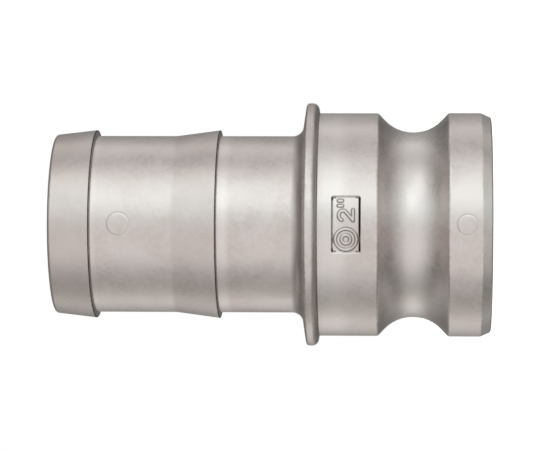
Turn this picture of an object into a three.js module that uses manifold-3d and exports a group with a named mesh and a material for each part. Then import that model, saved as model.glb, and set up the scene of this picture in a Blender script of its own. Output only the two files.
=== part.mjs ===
// Male cam-and-groove adapter with a hose shank, 2 inch, cast in one piece.
// A female coupler grips the cam groove of the head, and a hose is pushed over the barbed shank.
// Millimetres. The waterway runs along +Z, and Z = 0 is the sealing face that meets the coupler's gasket.

import * as THREE from "three";
import { mergeVertices } from "three/addons/utils/BufferGeometryUtils.js";
import Module from "manifold-3d";

const wasm = await Module();
wasm.setup();

// Overall
const LENGTH = 122.6; // sealing face to hose end
const BORE_RADIUS = 22.0;
const BORE_CHAMFER = 0.8;
const SEGMENTS = 64; // facets around the axis
const ARC_STEP = THREE.MathUtils.degToRad(20); // a fillet has one point for each of these, or part of one

// Head, which enters the coupler
const HEAD_RADIUS = 31.5;
const LEAD_IN_LENGTH = 2.9;
const LEAD_IN_DROP = 1.3; // how much smaller than the head its nose is
const NOSE_FILLET = 0.8;
const GROOVE_Z = 21.8; // middle of the cam groove
const GROOVE_FLOOR_RADIUS = 26.0;
const GROOVE_ARC_RADIUS = 11.0; // round bottom of the groove, in section
const GROOVE_FLANK_ANGLE = THREE.MathUtils.degToRad(47); // flank to axis
const GROOVE_EDGE_FILLET = 1.2;
const BODY_RADIUS = 31.4; // the head between the groove and the collar

// Collar, which stops the hose
const COLLAR_RADIUS = 34.2;
const COLLAR_HEAD_Z = 48.25; // foot of its side towards the head
const COLLAR_CREST_HEAD_Z = 48.35;
const COLLAR_CREST_HOSE_Z = 51.6;
const COLLAR_HOSE_Z = 53.0; // foot of its drafted side towards the hose
const COLLAR_FOOT_FILLET = 0.4;
const COLLAR_CREST_HEAD_FILLET = 1.8;
const COLLAR_CREST_HOSE_FILLET = 0.8;
const COLLAR_HOSE_FILLET = 3.2;

// Shank and its two barbs
const SHANK_RADIUS = 24.9;
const BARB_RADIUS = 26.55;
const BARB_STEP = 0.1; // how far the steep back of a barb leans
const INNER_BARB_Z = 76.1; // crest of the barb nearer the collar
const INNER_BARB_RAMP = 12.3;
const OUTER_BARB_Z = 111.0;
const HOSE_END_RADIUS = 25.2;
const HOSE_END_FILLET = 0.9;

// Recessed marking pad on the head, facing -Y. Its floor follows the round of the head.
const PAD_Z = 40.1;
const PAD_HEIGHT = 7.8; // along Z
const PAD_WIDTH = 15.4; // along X
const PAD_DEPTH = 0.45;
const PAD_CORNER = 0.6;

const CASTING_COLOUR = 0xc5bdb9;
const CASTING_ROUGHNESS = 0.42;

// One corner of the outline, rounded by a fillet of that radius.
function corner(radius, z, fillet = 0) {
  return { at: new THREE.Vector2(radius, z), fillet };
}

// The points that a corner becomes: itself, or an arc that touches the sides before and after it.
function roundedCorner(before, here, after) {
  if (here.fillet === 0) {
    return [here.at];
  }
  const back = before.at.clone().sub(here.at).normalize();
  const on = after.at.clone().sub(here.at).normalize();
  const halfAngle = Math.acos(THREE.MathUtils.clamp(back.dot(on), -1, 1)) / 2;
  const bisector = back.clone().add(on).normalize();
  const centre = here.at.clone().addScaledVector(bisector, here.fillet / Math.sin(halfAngle));
  const tangent = here.fillet / Math.tan(halfAngle);
  const start = here.at.clone().addScaledVector(back, tangent).sub(centre);
  const end = here.at.clone().addScaledVector(on, tangent).sub(centre);
  const turn = Math.atan2(start.cross(end), start.dot(end));
  const steps = Math.ceil(Math.abs(turn) / ARC_STEP);
  return Array.from({ length: steps + 1 }, (_, i) =>
    start.clone().rotateAround(new THREE.Vector2(), (turn * i) / steps).add(centre),
  );
}

// The head's side of the outline, from the sealing face to the collar.
function headCorners() {
  const grooveDepthBelowFloor = GROOVE_ARC_RADIUS * (1 / Math.cos(GROOVE_FLANK_ANGLE) - 1);
  const grooveRootRadius = GROOVE_FLOOR_RADIUS - grooveDepthBelowFloor; // where the flanks would meet
  const noseHalfMouth = (HEAD_RADIUS - grooveRootRadius) / Math.tan(GROOVE_FLANK_ANGLE);
  const bodyHalfMouth = (BODY_RADIUS - grooveRootRadius) / Math.tan(GROOVE_FLANK_ANGLE);
  return [
    corner(BORE_RADIUS + BORE_CHAMFER, 0),
    corner(HEAD_RADIUS - LEAD_IN_DROP, 0, NOSE_FILLET),
    corner(HEAD_RADIUS, LEAD_IN_LENGTH),
    corner(HEAD_RADIUS, GROOVE_Z - noseHalfMouth, GROOVE_EDGE_FILLET),
    corner(grooveRootRadius, GROOVE_Z, GROOVE_ARC_RADIUS),
    corner(BODY_RADIUS, GROOVE_Z + bodyHalfMouth, GROOVE_EDGE_FILLET),
  ];
}

function collarCorners() {
  return [
    corner(BODY_RADIUS, COLLAR_HEAD_Z, COLLAR_FOOT_FILLET),
    corner(COLLAR_RADIUS, COLLAR_CREST_HEAD_Z, COLLAR_CREST_HEAD_FILLET),
    corner(COLLAR_RADIUS, COLLAR_CREST_HOSE_Z, COLLAR_CREST_HOSE_FILLET),
    corner(SHANK_RADIUS, COLLAR_HOSE_Z, COLLAR_HOSE_FILLET),
  ];
}

function shankCorners() {
  return [
    corner(SHANK_RADIUS, INNER_BARB_Z - BARB_STEP),
    corner(BARB_RADIUS, INNER_BARB_Z),
    corner(SHANK_RADIUS, INNER_BARB_Z + INNER_BARB_RAMP),
    corner(SHANK_RADIUS, OUTER_BARB_Z - BARB_STEP),
    corner(BARB_RADIUS, OUTER_BARB_Z),
    corner(HOSE_END_RADIUS, LENGTH, HOSE_END_FILLET),
  ];
}

// The waterway's side of the outline, from the hose end back to the sealing face.
function boreCorners() {
  return [
    corner(BORE_RADIUS + BORE_CHAMFER, LENGTH),
    corner(BORE_RADIUS, LENGTH - BORE_CHAMFER),
    corner(BORE_RADIUS, BORE_CHAMFER),
  ];
}

// The section revolved about Z. A lathe turns about Y, so its result is laid over.
function turnedBody() {
  const corners = [...headCorners(), ...collarCorners(), ...shankCorners(), ...boreCorners()];
  const count = corners.length;
  const outline = corners.flatMap((here, i) =>
    roundedCorner(corners[(i + count - 1) % count], here, corners[(i + 1) % count]),
  );
  const closed = [...outline, outline[0].clone()];
  return new THREE.LatheGeometry(closed, SEGMENTS).rotateX(Math.PI / 2);
}

function toSolid(geometry) {
  const bare = geometry.clone();
  bare.deleteAttribute("normal");
  bare.deleteAttribute("uv");
  const merged = mergeVertices(bare, 1e-3);
  const vertProperties = new Float32Array(merged.attributes.position.array);
  const triVerts = new Uint32Array(merged.index.array);
  return new wasm.Manifold(new wasm.Mesh({ numProp: 3, vertProperties, triVerts }));
}

function toGeometry(solid) {
  const { vertProperties, triVerts } = solid.getMesh();
  const geometry = new THREE.BufferGeometry();
  geometry.setAttribute("position", new THREE.BufferAttribute(vertProperties, 3));
  geometry.setIndex(new THREE.BufferAttribute(triVerts, 1));
  geometry.computeVertexNormals();
  return geometry;
}

// The outline of the marking pad, as seen from -Y.
function padOutline() {
  const x = PAD_WIDTH / 2 - PAD_CORNER;
  const z = PAD_HEIGHT / 2 - PAD_CORNER;
  const outline = new THREE.Shape();
  outline.absarc(x, z, PAD_CORNER, 0, Math.PI / 2);
  outline.absarc(-x, z, PAD_CORNER, Math.PI / 2, Math.PI);
  outline.absarc(-x, -z, PAD_CORNER, Math.PI, 1.5 * Math.PI);
  outline.absarc(x, -z, PAD_CORNER, 1.5 * Math.PI, 2 * Math.PI);
  return outline;
}

// What the marking pad's recess takes out of the head: a block, less the round core that stays under it.
function padCutter() {
  const block = new THREE.ExtrudeGeometry(padOutline(), {
    depth: HEAD_RADIUS,
    bevelEnabled: false,
    curveSegments: 2,
  });
  block.rotateX(Math.PI / 2).translate(0, -PAD_WIDTH, PAD_Z);
  const core = new THREE.CylinderGeometry(
    BODY_RADIUS - PAD_DEPTH,
    BODY_RADIUS - PAD_DEPTH,
    2 * PAD_HEIGHT,
    SEGMENTS,
  );
  core.rotateX(Math.PI / 2).translate(0, 0, PAD_Z);
  return toSolid(block).subtract(toSolid(core));
}

function adapterCasting() {
  const casting = toSolid(turnedBody()).subtract(padCutter());
  const metal = new THREE.MeshStandardMaterial({
    color: CASTING_COLOUR,
    roughness: CASTING_ROUGHNESS,
    metalness: 1,
  });
  const mesh = new THREE.Mesh(toGeometry(casting), metal);
  mesh.name = "adapter_casting";
  return mesh;
}

const adapter = new THREE.Group();
adapter.add(adapterCasting());

export default adapter;
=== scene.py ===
import math

import bpy
import numpy as np
from mathutils import Matrix, Vector


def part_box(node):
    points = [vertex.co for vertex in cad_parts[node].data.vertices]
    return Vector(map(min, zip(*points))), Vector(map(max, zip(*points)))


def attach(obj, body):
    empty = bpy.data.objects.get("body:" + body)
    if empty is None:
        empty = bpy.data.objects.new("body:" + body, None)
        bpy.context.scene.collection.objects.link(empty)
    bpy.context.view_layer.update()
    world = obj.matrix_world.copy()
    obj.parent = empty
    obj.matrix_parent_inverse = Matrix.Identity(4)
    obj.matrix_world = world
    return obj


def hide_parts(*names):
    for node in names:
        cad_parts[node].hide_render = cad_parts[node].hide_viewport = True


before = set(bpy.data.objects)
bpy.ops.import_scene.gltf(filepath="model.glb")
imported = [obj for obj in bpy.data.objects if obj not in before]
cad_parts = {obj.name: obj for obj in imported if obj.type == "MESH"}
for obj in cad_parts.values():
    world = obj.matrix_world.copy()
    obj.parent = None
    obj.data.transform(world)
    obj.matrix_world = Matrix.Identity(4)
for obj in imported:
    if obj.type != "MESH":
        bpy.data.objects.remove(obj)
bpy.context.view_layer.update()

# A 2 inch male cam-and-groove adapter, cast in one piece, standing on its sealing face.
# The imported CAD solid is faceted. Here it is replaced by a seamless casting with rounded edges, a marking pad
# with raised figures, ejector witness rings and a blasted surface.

NODE = "adapter_casting"
LOW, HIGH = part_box(NODE)
MM = 0.001

# Driving sizes of the casting, in millimetres, with z up from the sealing face
LENGTH = (HIGH.z - LOW.z) / MM
COLLAR_RADIUS = (HIGH.x - LOW.x) / 2 / MM
BORE_RADIUS = 22.0
BORE_EDGE = 0.8
HEAD_RADIUS = 31.5
LEAD_IN_LENGTH = 2.9
LEAD_IN_DROP = 1.3
NOSE_FILLET = 0.8
LEAD_IN_FILLET = 1.5  # where the tapered nose meets the full head
GROOVE_Z = 21.8
GROOVE_FLOOR_RADIUS = 26.0
GROOVE_ARC_RADIUS = 11.0
GROOVE_FLANK = math.radians(47)
GROOVE_EDGE_FILLET = 1.2
BODY_RADIUS = 31.4  # the head between the groove and the collar
COLLAR_HEAD_Z = 48.25
COLLAR_CREST_HEAD_Z = 48.35
COLLAR_CREST_HOSE_Z = 51.6
COLLAR_HOSE_Z = 53.0
COLLAR_FOOT_FILLET = 0.4
COLLAR_CREST_HEAD_FILLET = 1.8
COLLAR_CREST_HOSE_FILLET = 0.8
COLLAR_HOSE_FILLET = 3.2
SHANK_RADIUS = 24.9
BARB_RADIUS = 26.55
BARB_STEP = 0.1
INNER_BARB_Z = 76.1
INNER_BARB_RAMP = 12.3
OUTER_BARB_Z = 111.0
HOSE_END_RADIUS = 25.2
HOSE_END_FILLET = 0.9
SHARP_FILLET = 0.25  # what blasting leaves of an edge that was sharp in the mould
BARB_FILLET = 0.14
SOFT_FILLET = 6.0  # where a barb's ramp starts

# Painted highlights (above 0) and painted shade (below 0), in bands round the axis: z from, z to, how much,
# width of its soft ends
PAINTED_LIGHT_BANDS = (
    (-1, LEAD_IN_LENGTH, 0.3, 0.3),
    (GROOVE_Z - 6, GROOVE_Z + 5, 0.45, 4.0),
    (38.0, COLLAR_HEAD_Z, 0.8, 7.0),
    (COLLAR_HEAD_Z - 2.6, COLLAR_HEAD_Z - 0.4, 0.3, 0.4),
    (INNER_BARB_Z - 2.4, INNER_BARB_Z - 0.2, 0.8, 0.5),
    (INNER_BARB_Z, INNER_BARB_Z + INNER_BARB_RAMP, -0.3, 0.6),
    (OUTER_BARB_Z - 2.0, OUTER_BARB_Z - 0.2, 0.8, 0.5),
    (OUTER_BARB_Z, LENGTH + 1, -0.5, 0.4),
)

WATERWAY_TONE = 2.0

# Painted shade at the collar's foot, on the barbs' steps and crests and on the hose end's rim, with some dirt
# on the steps, as an edge value below 0
COLLAR_SHADE = -0.4
COLLAR_SHADE_HEIGHT = 1.0
BARB_CREST_SHADE = -1.6
BARB_STEP_SHADE = -0.45
HOSE_END_SHADE = -0.6
HOSE_END_SHADE_HEIGHT = 0.8 * HOSE_END_FILLET
NEAR = 0.2  # how close to a corner counts as at it

# Marking pad and witness rings, all on the middle line that faces -Y
PAD_Z = 40.1
PAD_HEIGHT = 7.8
PAD_WIDTH = 15.4
PAD_DEPTH = 0.45
PAD_CORNER = 0.6
PAD_END_WALL = 0.5  # width of the sloping walls at its two ends
PAD_SIDE_WALL = 0.28
FIGURE_HEIGHT = 3.9
FIGURE_X = 2.5  # middle of the size figure
INCH_X = 5.85
INCH_RISE = 1.5  # how far the inch strokes stand above the middle line
INCH_PITCH = 1.4
INCH_LENGTH = 1.0
STROKE = 0.7  # width of a raised line
STROKE_RISE = 0.3
STROKE_SLOPE = 0.4  # share of a line's width over which its side slopes
FLOOR_SHARE = 0.99  # share of the pad's depth from which a point is on its floor
MARK_X = -4.1
MARK_RADII = (2.9, 1.2)
RINGS = ((7.0, 2.78), (103.0, 3.1))  # z of the middle, radius
RING_WIDTH = 0.42
RING_DEPTH = 0.08
RING_DISC_RISE = 0.05
RELIEF_RADIUS = SHANK_RADIUS - 0.5  # nothing within this carries relief
RING_SHADE = 0.4
RING_SHADE_LEAN = 0.25  # how much more painted shade there is on a ring's side towards the hose

# Wear on the marking pad's rim, and painted shade with some dirt at the foot of its walls and beside its raised
# lines, as edge values, and the width of the bands that they keep to
RIM_WEAR = 0.6
RIM_BAND = 0.22
FOOT_BAND = 0.3
HEAD_SIDE_SHADE = 3.0
MARK_LESS_SHADE = 1.6  # how much less painted shade there is beside the circles
MARK_LESS_SHADE_BAND = 1.7
COLLAR_SIDE_SHADE = 1.2
COLLAR_CORNER_SHADE = 1.0
END_SHADE = 0.3
END_CORNER_SHADE = 0.9
END_CORNER_REACH = 0.6
CORNER_REACH = 0.9
STROKE_SHADE = 0.9
STROKE_SHADE_AWAY = 0.12
STROKE_SHADE_BAND = 0.22

# Mesh fineness
ARC_STEP = math.radians(8)
SUPPORT = 0.25  # how far from an arc the next row lies on a long straight
LONG_STEP = 2.0  # rows on a straight outside
BORE_STEP = 8.0  # rows on a straight in the waterway
FINE_STEP = 0.14  # rows and columns across the pad and the rings
FINE_MARGIN = 0.5
FINE_HALF_WIDTH = PAD_WIDTH / 2 + FINE_MARGIN
COARSE_ANGLE = math.radians(3.3)
ARC_POINTS = 14
CIRCLE_POINTS = 40


# ---------------------------------------------------------------- outline

def corners():
    """The section's corners as (radius, z, fillet), from the waterway's edge of the sealing face outwards."""
    root = GROOVE_FLOOR_RADIUS - GROOVE_ARC_RADIUS * (1 / math.cos(GROOVE_FLANK) - 1)
    nose_half_mouth = (HEAD_RADIUS - root) / math.tan(GROOVE_FLANK)
    body_half_mouth = (BODY_RADIUS - root) / math.tan(GROOVE_FLANK)
    return [
        (BORE_RADIUS + BORE_EDGE, 0, SHARP_FILLET),
        (HEAD_RADIUS - LEAD_IN_DROP, 0, NOSE_FILLET),
        (HEAD_RADIUS, LEAD_IN_LENGTH, LEAD_IN_FILLET),
        (HEAD_RADIUS, GROOVE_Z - nose_half_mouth, GROOVE_EDGE_FILLET),
        (root, GROOVE_Z, GROOVE_ARC_RADIUS),
        (BODY_RADIUS, GROOVE_Z + body_half_mouth, GROOVE_EDGE_FILLET),
        (BODY_RADIUS, COLLAR_HEAD_Z, COLLAR_FOOT_FILLET),
        (COLLAR_RADIUS, COLLAR_CREST_HEAD_Z, COLLAR_CREST_HEAD_FILLET),
        (COLLAR_RADIUS, COLLAR_CREST_HOSE_Z, COLLAR_CREST_HOSE_FILLET),
        (SHANK_RADIUS, COLLAR_HOSE_Z, COLLAR_HOSE_FILLET),
        (SHANK_RADIUS, INNER_BARB_Z - BARB_STEP, BARB_FILLET),
        (BARB_RADIUS, INNER_BARB_Z, BARB_FILLET),
        (SHANK_RADIUS, INNER_BARB_Z + INNER_BARB_RAMP, SOFT_FILLET),
        (SHANK_RADIUS, OUTER_BARB_Z - BARB_STEP, BARB_FILLET),
        (BARB_RADIUS, OUTER_BARB_Z, BARB_FILLET),
        (HOSE_END_RADIUS, LENGTH, HOSE_END_FILLET),
        (BORE_RADIUS + BORE_EDGE, LENGTH, SHARP_FILLET),
        (BORE_RADIUS, LENGTH - BORE_EDGE, SHARP_FILLET),
        (BORE_RADIUS, BORE_EDGE, SHARP_FILLET),
    ]


def rounded(before, here, after):
    """The arc that a corner becomes, as rows of (radius, z, edge).

    The edge value is 1 on a tight outer edge, where it shows as wear, -1 in a tight inner one, where it shows
    as painted shade with some dirt, and nearer 0 the wider the fillet.
    """
    at = np.array(here[:2])
    back = np.array(before[:2]) - at
    on = np.array(after[:2]) - at
    back, on = back / np.linalg.norm(back), on / np.linalg.norm(on)
    half = math.acos(np.clip(back @ on, -1, 1)) / 2
    bisector = (back + on) / np.linalg.norm(back + on)
    centre = at + bisector * here[2] / math.sin(half)
    start = at + back * here[2] / math.tan(half) - centre
    turn = math.pi - 2 * half
    side = math.copysign(1, on[0] * back[1] - on[1] * back[0])
    steps = max(2, math.ceil(turn / ARC_STEP))
    angles = side * np.linspace(0, turn, steps + 1)
    spun = np.stack(
        [
            start[0] * np.cos(angles) - start[1] * np.sin(angles),
            start[0] * np.sin(angles) + start[1] * np.cos(angles),
        ],
        axis=1,
    )
    edge = side * min(1.0, 1.0 / here[2]) * np.sin(np.linspace(0, math.pi, steps + 1)) ** 0.5
    return np.column_stack([centre + spun, edge])


def fine_zones():
    """The stretches of z that carry relief."""
    zones = [(PAD_Z - PAD_HEIGHT / 2 - FINE_MARGIN, PAD_Z + PAD_HEIGHT / 2 + FINE_MARGIN)]
    for z, radius in RINGS:
        zones.append((z - radius - FINE_MARGIN, z + radius + FINE_MARGIN))
    return zones


def between(a, b):
    """Extra rows on the straight from a to b: next to its ends, at every long step, and closely at relief."""
    length = np.linalg.norm(b[:2] - a[:2])
    outside = min(a[0], b[0]) > BORE_RADIUS + BORE_EDGE
    step = LONG_STEP if outside else BORE_STEP
    shares = set(np.linspace(0, 1, math.ceil(length / step) + 1)[1:-1])
    if length > 3 * SUPPORT:
        shares |= {SUPPORT / length, 1 - SUPPORT / length}
    for low, high in fine_zones() if outside and abs(b[1] - a[1]) > SUPPORT else []:
        zs = np.arange(low, high, FINE_STEP)
        inside = (zs - a[1]) / (b[1] - a[1])
        shares |= set(inside[(inside > SUPPORT / length) & (inside < 1 - SUPPORT / length)])
    rows = [a + (b - a) * share for share in sorted(shares)]
    return np.array([[r, z, 0.0] for r, z, _ in rows]).reshape(-1, 3)


def outline():
    """All rows of the section as (radius, z, edge)."""
    points = corners()
    arcs = [rounded(points[i - 1], points[i], points[(i + 1) % len(points)]) for i in range(len(points))]
    pieces = []
    for i, arc in enumerate(arcs):
        pieces += [arc, between(arc[-1], arcs[(i + 1) % len(arcs)][0])]
    return np.concatenate(pieces)


def column_angles():
    """Angles round the axis from -Y towards +X, close together where there is relief."""
    fine = math.asin(FINE_HALF_WIDTH / HEAD_RADIUS)
    close = np.linspace(-fine, fine, math.ceil(2 * fine * HEAD_RADIUS / FINE_STEP) + 1)
    rest = 2 * math.pi - 2 * fine
    return np.concatenate([close, fine + np.linspace(0, rest, math.ceil(rest / COARSE_ANGLE) + 1)[1:-1]])


# ---------------------------------------------------------------- relief

def smooth(t):
    """0 below 0, 1 above 1, and an S-shaped step between."""
    t = np.clip(t, 0, 1)
    return t * t * (3 - 2 * t)


def band(distance, width):
    """1 where the distance is 0, fading to nothing over about two widths."""
    return np.exp(-((distance / width) ** 2))


def arc_points(centre, radii, start, end, steps=ARC_POINTS):
    """Points on an elliptical arc, with its angles in degrees."""
    angles = np.radians(np.linspace(start, end, steps))
    x = centre[0] + radii[0] * np.cos(angles)
    z = centre[1] + radii[1] * np.sin(angles)
    return np.stack([x, z], axis=1)


def figure_two():
    """The centre line of a plain figure 2 about its middle, in shares of half its height."""
    half = FIGURE_HEIGHT / 2
    bowl = arc_points((0, 0.42 * half), (0.68 * half, 0.58 * half), 165, -38)
    return np.concatenate([bowl, [(-0.72 * half, -half), (0.76 * half, -half)]])


def inch_stroke(side):
    x = side * INCH_PITCH / 2
    return np.array([(x, INCH_RISE + INCH_LENGTH / 2), (x, INCH_RISE - INCH_LENGTH / 2)])


def circle(radius):
    return arc_points((0, 0), (radius, radius), 0, 360, CIRCLE_POINTS)


def distance_to(line, x, z):
    """Distance from each point to a polyline."""
    nearest = np.full(x.shape, np.inf)
    for (ax, az), (bx, bz) in zip(line[:-1], line[1:]):
        dx, dz = bx - ax, bz - az
        along = np.clip(((x - ax) * dx + (z - az) * dz) / (dx * dx + dz * dz), 0, 1)
        nearest = np.minimum(nearest, np.hypot(x - ax - along * dx, z - az - along * dz))
    return nearest


def raised_lines():
    """The centre lines of what stands on the pad: the size in inches, and two plain circles."""
    places = [(figure_two(), FIGURE_X), (inch_stroke(-1), INCH_X), (inch_stroke(1), INCH_X)]
    places += [(circle(radius), MARK_X) for radius in MARK_RADII]
    return [line + (x, PAD_Z) for line, x in places]


def pad_relief(x, z):
    """How far the head's surface moves out at the pad, and its edge value.

    Painted shade, with some dirt, sits at the foot of the walls, most of it on the side towards the groove and
    in the corners; a thin band of painted shade runs beside the raised lines, and the rim is paler with wear.
    """
    px = np.abs(x) - (PAD_WIDTH / 2 - PAD_CORNER)
    pz = np.abs(z - PAD_Z) - (PAD_HEIGHT / 2 - PAD_CORNER)
    beyond = np.hypot(np.maximum(px, 0), np.maximum(pz, 0)) + np.minimum(np.maximum(px, pz), 0)
    beyond = beyond - PAD_CORNER  # outside the pad's outline, or below 0 inside it
    at_side = pz > px
    wall = np.where(at_side, PAD_SIDE_WALL, PAD_END_WALL)
    sunk = smooth(0.5 - beyond / wall)
    line = np.min([distance_to(line, x, z) for line in raised_lines()], axis=0) - STROKE / 2
    raised = smooth(0.5 - line / (STROKE_SLOPE * STROKE))
    corner = smooth((px + CORNER_REACH) / CORNER_REACH)
    head_side = HEAD_SIDE_SHADE - MARK_LESS_SHADE * band(x - MARK_X, MARK_LESS_SHADE_BAND)
    collar_side = COLLAR_SIDE_SHADE + COLLAR_CORNER_SHADE * corner
    at_end = END_SHADE + END_CORNER_SHADE * corner * (pz > -END_CORNER_REACH)
    shade_and_grime = np.where(at_side, np.where(z < PAD_Z, head_side, collar_side), at_end)
    # Painted shade at the foot of the walls
    foot = shade_and_grime * band(beyond + wall / 2, FOOT_BAND)
    rim = RIM_WEAR * band(beyond - wall / 2, RIM_BAND)
    # Painted shade beside the raised lines, on the pad's floor
    round_line = STROKE_SHADE * band(line - STROKE_SHADE_AWAY, STROKE_SHADE_BAND) * (beyond < 0)
    return -PAD_DEPTH * sunk + STROKE_RISE * raised * (sunk > FLOOR_SHARE), rim - foot - round_line


def ring_relief(x, z, middle, radius):
    """How far the surface moves out at a witness ring, and its edge value: painted shade in the ring's groove,
    more of it on the side towards the hose.
    """
    beyond = np.hypot(x, z - middle) - radius
    groove = band(beyond, RING_WIDTH / 2)
    disc = smooth(0.5 - beyond / RING_WIDTH)
    # Painted shade in the ring's groove
    shade_and_grime = RING_SHADE + RING_SHADE_LEAN * (z - middle) / radius
    return RING_DISC_RISE * disc - RING_DEPTH * groove, -shade_and_grime * groove


def add_relief(radius, angle, z, edge):
    """The grid's radius and edge value with the pad and the rings."""
    x = radius * np.sin(angle)
    front = (np.cos(angle) > 0) & (radius > RELIEF_RADIUS)
    in_height = np.abs(z - PAD_Z) < PAD_HEIGHT / 2 + FINE_MARGIN
    on_pad = front & (np.abs(x) < FINE_HALF_WIDTH) & in_height
    moved, tint = pad_relief(x, z)
    radius = radius + np.where(on_pad, moved, 0)
    edge = edge + np.where(on_pad, tint, 0)
    for middle, size in RINGS:
        on_ring = front & (np.hypot(x, z - middle) < size + FINE_MARGIN)
        moved, tint = ring_relief(x, z, middle, size)
        radius = radius + np.where(on_ring, moved, 0)
        edge = edge + np.where(on_ring, tint, 0)
    return radius, edge


def shaded_rows(radius, z, edge):
    """The edge value with painted shade at the collar's foot, on the hose end's rim and on the barbs' steps,
    darkest as a painted black line at each crest, with some dirt on the steps.
    """
    at_collar = (z > COLLAR_HEAD_Z) & (z < COLLAR_HEAD_Z + COLLAR_SHADE_HEIGHT)
    # Painted shade at the collar's foot
    edge = np.where(at_collar & (radius > BODY_RADIUS + NEAR), COLLAR_SHADE, edge)
    for crest in (INNER_BARB_Z, OUTER_BARB_Z):
        in_step = (np.abs(z - crest) < NEAR) & (radius > SHANK_RADIUS + NEAR / 2)
        shade_and_grime = np.where(radius > BARB_RADIUS - NEAR, BARB_CREST_SHADE, BARB_STEP_SHADE)
        edge = np.where(in_step, shade_and_grime, edge)
    on_rim = (z > LENGTH - HOSE_END_SHADE_HEIGHT) & (radius > HOSE_END_RADIUS - HOSE_END_FILLET)
    return np.where(on_rim, HOSE_END_SHADE, edge)


def tone_of(radius, z):
    """How much painted highlight (above 0) and painted shade (below 0) the outside carries, by z. The waterway
    is the palest, and rough.
    """
    tone = np.zeros(z.shape)
    for low, high, amount, soft in PAINTED_LIGHT_BANDS:
        tone += amount * smooth((z - low) / soft) * smooth((high - z) / soft)
    return np.where(radius > BORE_RADIUS + 1, tone, WATERWAY_TONE)


# ---------------------------------------------------------------- casting

def casting_mesh():
    """The outline's rows by the columns round the axis: one closed surface, with its edge and tone values."""
    rows, angles = outline(), column_angles()
    n, m = len(rows), len(angles)
    angle = np.tile(angles, (n, 1))
    radius, z, edge = (np.repeat(rows[:, k : k + 1], m, axis=1) for k in range(3))
    radius, edge = add_relief(radius, angle, z, shaded_rows(radius, z, edge))
    points = np.stack([radius * np.sin(angle), -radius * np.cos(angle), z], axis=2) * MM
    points += np.array([(LOW.x + HIGH.x) / 2, (LOW.y + HIGH.y) / 2, LOW.z])

    i, j = np.meshgrid(np.arange(n), np.arange(m), indexing="ij")
    up, right = (i + 1) % n, (j + 1) % m
    faces = np.stack([i * m + j, i * m + right, up * m + right, up * m + j], axis=2).reshape(-1, 4)
    mesh = bpy.data.meshes.new("casting")
    mesh.from_pydata(points.reshape(-1, 3).tolist(), [], faces.tolist())
    for name, values in (("edge", edge), ("tone", tone_of(radius, z))):
        attribute = mesh.attributes.new(name, "FLOAT", "POINT")
        attribute.data.foreach_set("value", values.astype(np.float32).ravel())
    mesh.shade_smooth()
    mesh.update()
    return mesh


def make_casting(material):
    mesh = casting_mesh()
    mesh.materials.append(material)
    piece = bpy.data.objects.new("cast_adapter", mesh)
    bpy.context.scene.collection.objects.link(piece)
    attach(piece, "root")
    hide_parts(NODE)


# ---------------------------------------------------------------- material

class Nodes:
    """Short calls for building a shader tree."""

    def __init__(self, tree):
        self.tree = tree

    def add(self, kind, inputs=(), **settings):
        node = self.tree.nodes.new(kind)
        for name, value in settings.items():
            setattr(node, name, value)
        for name, value in dict(inputs).items():
            self.feed(node.inputs[name], value)
        return node

    def feed(self, socket, value):
        if isinstance(value, bpy.types.NodeSocket):
            self.tree.links.new(value, socket)
        else:
            socket.default_value = value

    def math(self, operation, a, b=0.0, c=0.0):
        node = self.add("ShaderNodeMath", {0: a, 1: b, 2: c}, operation=operation)
        return node.outputs[0]

    def noise(self, vector, scale, detail=2.0, roughness=0.5, distortion=0.0):
        inputs = {
            "Vector": vector,
            "Scale": scale,
            "Detail": detail,
            "Roughness": roughness,
            "Distortion": distortion,
        }
        return self.add("ShaderNodeTexNoise", inputs).outputs["Fac"]

    def span(self, value, low, high, to_low=0.0, to_high=1.0):
        inputs = {"Value": value, "From Min": low, "From Max": high, "To Min": to_low, "To Max": to_high}
        return self.add("ShaderNodeMapRange", inputs).outputs["Result"]

    def scaled(self, vector, scale):
        node = self.add("ShaderNodeVectorMath", {0: vector, "Scale": scale}, operation="SCALE")
        return node.outputs["Vector"]

    def mix(self, factor, a, b):
        node = self.add("ShaderNodeMix", data_type="RGBA")
        self.feed(node.inputs[0], factor)
        self.feed(node.inputs[6], a)
        self.feed(node.inputs[7], b)
        return node.outputs[2]


METAL = (0.60, 0.55, 0.525, 1)
METAL_PALE = (0.66, 0.62, 0.60, 1)
# Painted highlights, and the waterway's colour
METAL_PALEST = (0.70, 0.67, 0.645, 1)
# Dull cloudy patches, and painted shade
METAL_DULL_AND_SHADE = (0.52, 0.465, 0.44, 1)
# Painted shade, with some dirt
GRIME_AND_SHADE = (0.16, 0.145, 0.135, 1)
# Painted black shade
SHADE_BLACK = (0.02, 0.018, 0.017, 1)

# Noise scales, per millimetre
CLOUDS = 0.09
SWELLS = 0.16
MOTTLE = 0.7
PITS = 1.6
GRAIN = 3.2

# Bump depths, in millimetres
SWELL_DEPTH = 0.09
MOTTLE_DEPTH = 0.02
GRAIN_DEPTH = 0.003
PIT_DEPTH = 0.0015


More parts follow.
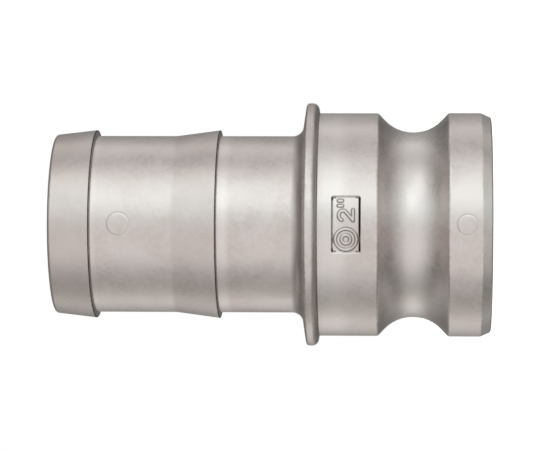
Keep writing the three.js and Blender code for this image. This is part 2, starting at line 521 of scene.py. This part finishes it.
def cast_metal():
    """Blasted stainless casting: warm grey, mottled, finely grained, paler and smoother on worn edges, with
    painted highlights and painted shade in bands along the axis and painted shade, with some dirt, in inner
    corners, at the feet of walls and on the barbs' steps.
    """
    material = bpy.data.materials.new("cast_stainless")
    material.use_nodes = True
    n = Nodes(material.node_tree)
    shader = material.node_tree.nodes["Principled BSDF"]
    place = n.scaled(n.add("ShaderNodeTexCoord").outputs["Object"], 1 / MM)
    edge = n.add("ShaderNodeAttribute", attribute_name="edge").outputs["Fac"]
    tone = n.add("ShaderNodeAttribute", attribute_name="tone").outputs["Fac"]
    clouds = n.noise(place, CLOUDS, 3.0, 0.55, 0.4)
    mottle = n.noise(place, MOTTLE, 3.0, 0.6)
    worn = n.math("MULTIPLY", n.span(edge, 0.05, 0.8), n.span(mottle, 0.35, 0.6))
    # Painted shade, with some dirt, where the edge value is below 0
    shaded_and_grimy = n.math("MULTIPLY", n.span(edge, -0.1, -0.8), n.span(mottle, 0.3, 0.65, 0.4, 1.0))
    # Painted black shade where the edge value is lowest
    black = n.span(edge, -0.7, -1.6)

    colour = n.mix(n.span(clouds, 0.35, 0.65), METAL_DULL_AND_SHADE, METAL)
    colour = n.mix(n.span(mottle, 0.4, 0.75, 0.0, 0.5), colour, METAL_PALE)
    # Painted shade where tone is below 0 and painted highlights where it is above 0; the waterway is the palest
    colour = n.mix(n.span(tone, 0.0, -1.0), colour, METAL_DULL_AND_SHADE)
    colour = n.mix(n.span(tone, 0.0, 1.0), colour, METAL_PALEST)
    colour = n.mix(n.math("MULTIPLY", worn, 0.6), colour, METAL_PALE)
    colour = n.mix(n.math("MULTIPLY", shaded_and_grimy, 0.6), colour, GRIME_AND_SHADE)
    colour = n.mix(black, colour, SHADE_BLACK)
    n.feed(shader.inputs["Base Color"], colour)
    shader.inputs["Metallic"].default_value = 1.0

    rough = n.span(mottle, 0.3, 0.7, 0.25, 0.33)
    rough = n.math("ADD", rough, n.span(clouds, 0.3, 0.7, -0.02, 0.03))
    rough = n.math("ADD", rough, n.math("MULTIPLY", worn, -0.06))
    rough = n.math("ADD", rough, n.math("MULTIPLY", shaded_and_grimy, 0.2))
    rough = n.math("ADD", rough, n.span(tone, 1.2, WATERWAY_TONE, 0.0, 0.25))
    n.feed(shader.inputs["Roughness"], rough)

    heights = (
        (n.noise(place, GRAIN, 3.0, 0.6), GRAIN_DEPTH),
        (n.noise(place, MOTTLE, 1.0), MOTTLE_DEPTH),
        (n.noise(place, SWELLS, 2.0), SWELL_DEPTH),
        (n.span(n.noise(place, PITS, 2.0, 0.5), 0.30, 0.40), PIT_DEPTH),
    )
    normal = None
    for height, depth in heights:
        bump = n.add("ShaderNodeBump", {"Height": height, "Strength": 1.0, "Distance": depth * MM})
        if normal:
            n.feed(bump.inputs["Normal"], normal)
        normal = bump.outputs["Normal"]
    n.feed(shader.inputs["Normal"], normal)
    return material


# ---------------------------------------------------------------- camera

# In metres
CAMERA_DISTANCE = 0.830  # from the axis
CAMERA_HEIGHT = 0.023  # above the sealing face
CAMERA_ASIDE = -0.0002  # towards +X
CAMERA_YAW = math.radians(2.704)  # towards the hose end
CAMERA_ROLL = math.radians(0.17)

# In millimetres
LENS = 195.9
SENSOR = 36.0


def make_camera():
    """The adapter stands on its head, and the camera lies on its side, so the head is at the right."""
    data = bpy.data.cameras.new("camera")
    data.lens = LENS
    data.sensor_width = SENSOR
    data.clip_start = 0.05
    data.clip_end = 20
    camera = bpy.data.objects.new("camera", data)
    bpy.context.scene.collection.objects.link(camera)
    ahead = Vector((0, math.cos(CAMERA_YAW), math.sin(CAMERA_YAW)))
    up = Vector((1, 0, 0))
    right = ahead.cross(up)
    turned = Matrix((right, up, -ahead)).transposed().to_4x4() @ Matrix.Rotation(CAMERA_ROLL, 4, "Z")
    place = Matrix.Translation((CAMERA_ASIDE, -CAMERA_DISTANCE, CAMERA_HEIGHT))
    camera.matrix_world = place @ turned
    bpy.context.scene.camera = camera


# ---------------------------------------------------------------- studio

# The studio's light by direction round the axis, in degrees from -Y towards +X: brightness and tint
WARM = (1.0, 0.98, 0.95)
EVEN = (1.0, 0.99, 0.99)
COOL = (0.94, 1.0, 1.0)
SURROUNDINGS = (
    (-180, 0.37, WARM),
    (-156, 0.37, WARM),
    (-144, 0.71, WARM),
    (-132, 0.90, EVEN),
    (-120, 1.15, EVEN),
    (-108, 0.85, WARM),
    (-96, 0.64, WARM),
    (-84, 0.54, WARM),
    (-72, 0.58, EVEN),
    (-60, 0.78, EVEN),
    (-48, 1.03, EVEN),
    (-24, 1.11, EVEN),
    (0, 0.98, EVEN),
    (12, 1.30, COOL),
    (24, 1.46, COOL),
    (36, 1.35, COOL),
    (48, 1.23, COOL),
    (72, 1.10, EVEN),
    (84, 0.75, EVEN),
    (96, 0.73, EVEN),
    (108, 1.00, EVEN),
    (120, 1.05, EVEN),
    (132, 0.56, WARM),
    (144, 0.60, EVEN),
    (156, 0.35, EVEN),
    (180, 0.37, WARM),
)
SURROUNDINGS_PEAK = 4.0
POLE = 0.5  # how bright the studio is along the adapter's axis, against level with it

# The studio dims from level to POLE as a direction's steepness goes from DIM_FROM to DIM_TO. Steepness is the
# height against a spread, which is wider on the -Y side and a little wider on the +X side.
DIM_FROM = 0.25
DIM_TO = 1.1
SPREAD = 0.7
SPREAD_PER_X = 0.15
SPREAD_PER_Y = -0.5
LEAST_SPREAD = 0.25


def make_world():
    """A studio that lights the adapter by direction, and that the camera sees as plain white."""
    world = bpy.data.worlds.new("studio")
    bpy.context.scene.world = world
    world.use_nodes = True
    tree = world.node_tree
    tree.nodes.clear()
    n = Nodes(tree)
    direction = n.add("ShaderNodeTexCoord").outputs["Generated"]
    parts = n.add("ShaderNodeSeparateXYZ", {0: direction}).outputs
    round_axis = n.math("ARCTAN2", parts["X"], n.math("MULTIPLY", parts["Y"], -1.0))
    ramp = n.add("ShaderNodeValToRGB", {"Fac": n.span(round_axis, -math.pi, math.pi)})
    ramp.color_ramp.interpolation = "B_SPLINE"
    stops = ramp.color_ramp.elements
    while len(stops) > 1:
        stops.remove(stops[0])
    for k, (degrees, brightness, tint) in enumerate(SURROUNDINGS):
        stop = stops[0] if k == 0 else stops.new(1)
        stop.position = (degrees + 180) / 360
        stop.color = (*[brightness * c / SURROUNDINGS_PEAK for c in tint], 1)
    spread = n.math("MULTIPLY_ADD", parts["X"], SPREAD_PER_X, SPREAD)
    spread = n.math("MULTIPLY_ADD", parts["Y"], SPREAD_PER_Y, spread)
    spread = n.math("MAXIMUM", spread, LEAST_SPREAD)
    steepness = n.math("DIVIDE", n.math("ABSOLUTE", parts["Z"]), spread)
    dimmed = n.scaled(ramp.outputs["Color"], n.span(steepness, DIM_FROM, DIM_TO, 1.0, POLE))
    seen = n.add("ShaderNodeLightPath").outputs["Is Camera Ray"]
    backdrop = 1.0 / SURROUNDINGS_PEAK
    colour = n.mix(seen, dimmed, (backdrop, backdrop, backdrop, 1))
    background = n.add("ShaderNodeBackground", {"Color": colour, "Strength": SURROUNDINGS_PEAK})
    output = n.add("ShaderNodeOutputWorld")
    tree.links.new(background.outputs[0], output.inputs["Surface"])


KEY_ROUND_AXIS = math.radians(42)  # from -Y towards +X
KEY_ELEVATION = math.radians(4)
KEY_DISTANCE = 1.4  # metres
KEY_SIZE = (0.7, 1.4)  # metres
KEY_POWER = 1.0  # watts
KEY_COLOUR = (0.96, 1.0, 1.0)


def make_key_light():
    """A softbox that faces the middle of the adapter."""
    data = bpy.data.lights.new("key", "AREA")
    data.shape = "RECTANGLE"
    data.size, data.size_y = KEY_SIZE
    data.energy = KEY_POWER
    data.color = KEY_COLOUR
    light = bpy.data.objects.new("key", data)
    bpy.context.scene.collection.objects.link(light)
    level = math.cos(KEY_ELEVATION)
    x = math.sin(KEY_ROUND_AXIS) * level
    y = -math.cos(KEY_ROUND_AXIS) * level
    out = Vector((x, y, math.sin(KEY_ELEVATION)))
    middle = Vector((0, 0, LENGTH * MM / 2))
    light.location = middle + out * KEY_DISTANCE
    light.rotation_euler = (-out).to_track_quat("-Z", "Z").to_euler()


FLOOR_HALF_WIDTH = 4.0  # metres
FLOOR_COLOUR = (0.80, 0.79, 0.78, 1)
FLOOR_GLOW = 0.9


def make_floor():
    """A wide pale floor under the sealing face, glowing like the backdrop and unseen in the casting."""
    half = FLOOR_HALF_WIDTH
    corner_points = [(-half, -half, 0), (half, -half, 0), (half, half, 0), (-half, half, 0)]
    mesh = bpy.data.meshes.new("floor")
    mesh.from_pydata(corner_points, [], [(0, 1, 2, 3)])
    material = bpy.data.materials.new("floor")
    material.use_nodes = True
    shader = material.node_tree.nodes["Principled BSDF"]
    shader.inputs["Base Color"].default_value = FLOOR_COLOUR
    shader.inputs["Roughness"].default_value = 0.8
    shader.inputs["Specular IOR Level"].default_value = 0.0
    shader.inputs["Emission Color"].default_value = (1, 1, 1, 1)
    shader.inputs["Emission Strength"].default_value = FLOOR_GLOW
    mesh.materials.append(material)
    floor = bpy.data.objects.new("floor", mesh)
    bpy.context.scene.collection.objects.link(floor)
    floor.visible_glossy = False
    floor.visible_diffuse = False


make_camera()
make_casting(cast_metal())
make_floor()
make_world()
make_key_light()
bpy.context.scene.view_settings.view_transform = "Standard"
